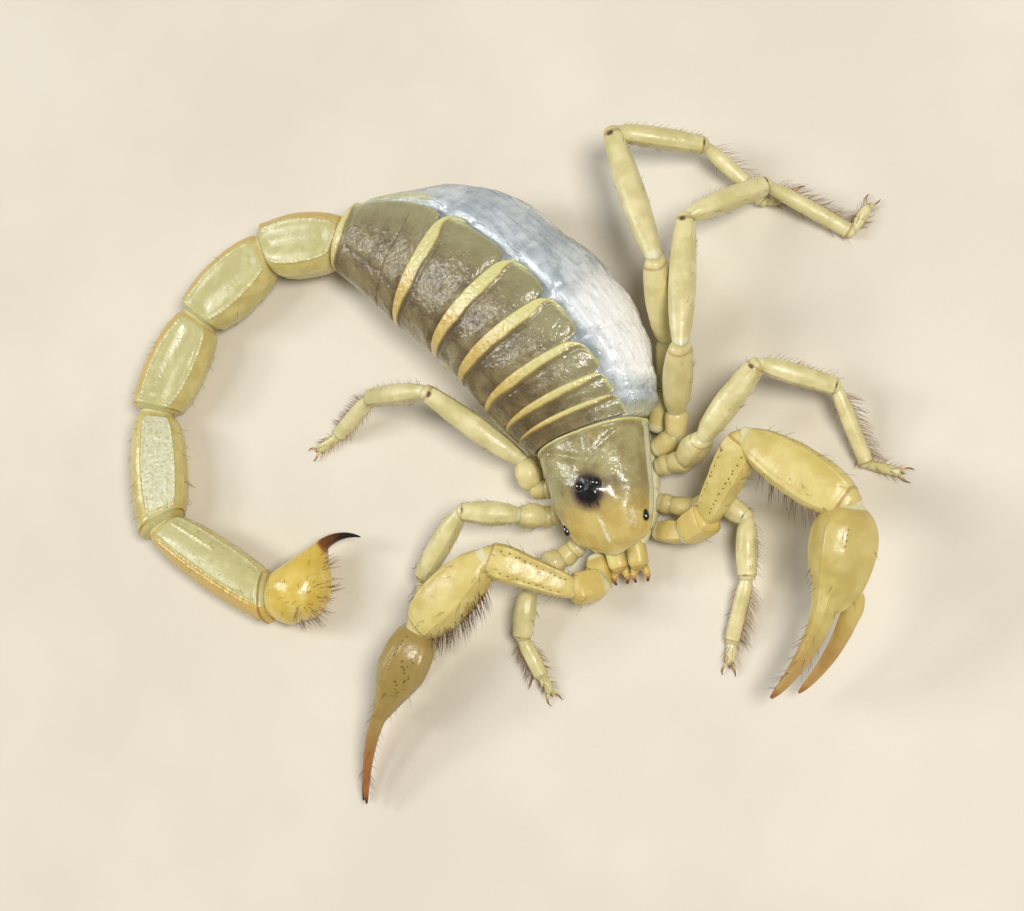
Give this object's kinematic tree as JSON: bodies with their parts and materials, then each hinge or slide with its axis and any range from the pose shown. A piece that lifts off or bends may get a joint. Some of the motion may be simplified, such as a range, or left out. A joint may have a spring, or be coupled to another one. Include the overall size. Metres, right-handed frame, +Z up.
{
  "type": "scorpion figure",
  "caption": "Life-size still figure of a pale desert hairy scorpion, its swollen body bent to one side, tail curled flat beside it, claws forward, resting on its belly and feet.",
  "frame": {"origin": "centre of the bounding box in plan, on the floor the figure rests on", "axes": "+Z up from the floor; +X towards the side of the left claw and away from the curled tail; the head looks along -Y"},
  "size_m": [0.0848, 0.0686, 0.0135],
  "materials": {
    "membrane": "soft pale skin, finely wrinkled, damp",
    "back_plate": "glossy dusky olive-brown shell with pale yellow back edges",
    "belly_plate": "smooth yellowish shell",
    "head_shield": "glossy shell, gold in front and olive behind",
    "eye": "glossy black",
    "tail": "glossy ochre shell with fine ridges",
    "sting": "dark glossy horn",
    "leg": "pale straw-yellow translucent shell",
    "palp": "glossy amber-yellow shell",
    "finger": "orange-brown shell, darker at the tip"
  },
  "bodies": {
    "root": {"abdomen": "membrane", "tergite_1": "back_plate", "tergite_2": "back_plate", "tergite_3": "back_plate", "tergite_4": "back_plate", "tergite_5": "back_plate", "tergite_6": "back_plate", "tergite_7": "back_plate", "sternite_3": "belly_plate", "sternite_4": "belly_plate", "sternite_5": "belly_plate", "sternite_6": "belly_plate", "sternite_7": "belly_plate", "carapace": "head_shield", "eye_median_left": "eye", "eye_median_right": "eye", "eye_lateral_left": "eye", "eye_lateral_right": "eye", "coxosternum": "belly_plate", "chelicera_L": "head_shield", "chelicera_R": "head_shield", "pecten_L": "belly_plate", "pecten_R": "belly_plate", "metasoma_1": "tail", "metasoma_2": "tail", "metasoma_3": "tail", "metasoma_4": "tail", "metasoma_5": "tail", "telson_vesicle": "tail", "aculeus": "sting", "leg_L1_upper": "leg", "leg_L1_lower": "leg", "leg_L2_upper": "leg", "leg_L2_lower": "leg", "leg_L3_upper": "leg", "leg_L3_lower": "leg", "leg_L4_upper": "leg", "leg_L4_lower": "leg", "leg_R1_upper": "leg", "leg_R1_lower": "leg", "leg_R2_upper": "leg", "leg_R2_lower": "leg", "leg_R3_upper": "leg", "leg_R3_lower": "leg", "leg_R4_upper": "leg", "leg_R4_lower": "leg", "palp_L_base": "palp", "palp_L_femur": "palp", "palp_L_patella": "palp", "palp_L_chela": "palp", "palp_L_finger": "finger", "palp_R_base": "palp", "palp_R_femur": "palp", "palp_R_patella": "palp", "palp_R_chela": "palp", "palp_R_finger": "finger"}
  },
  "joints": []
}
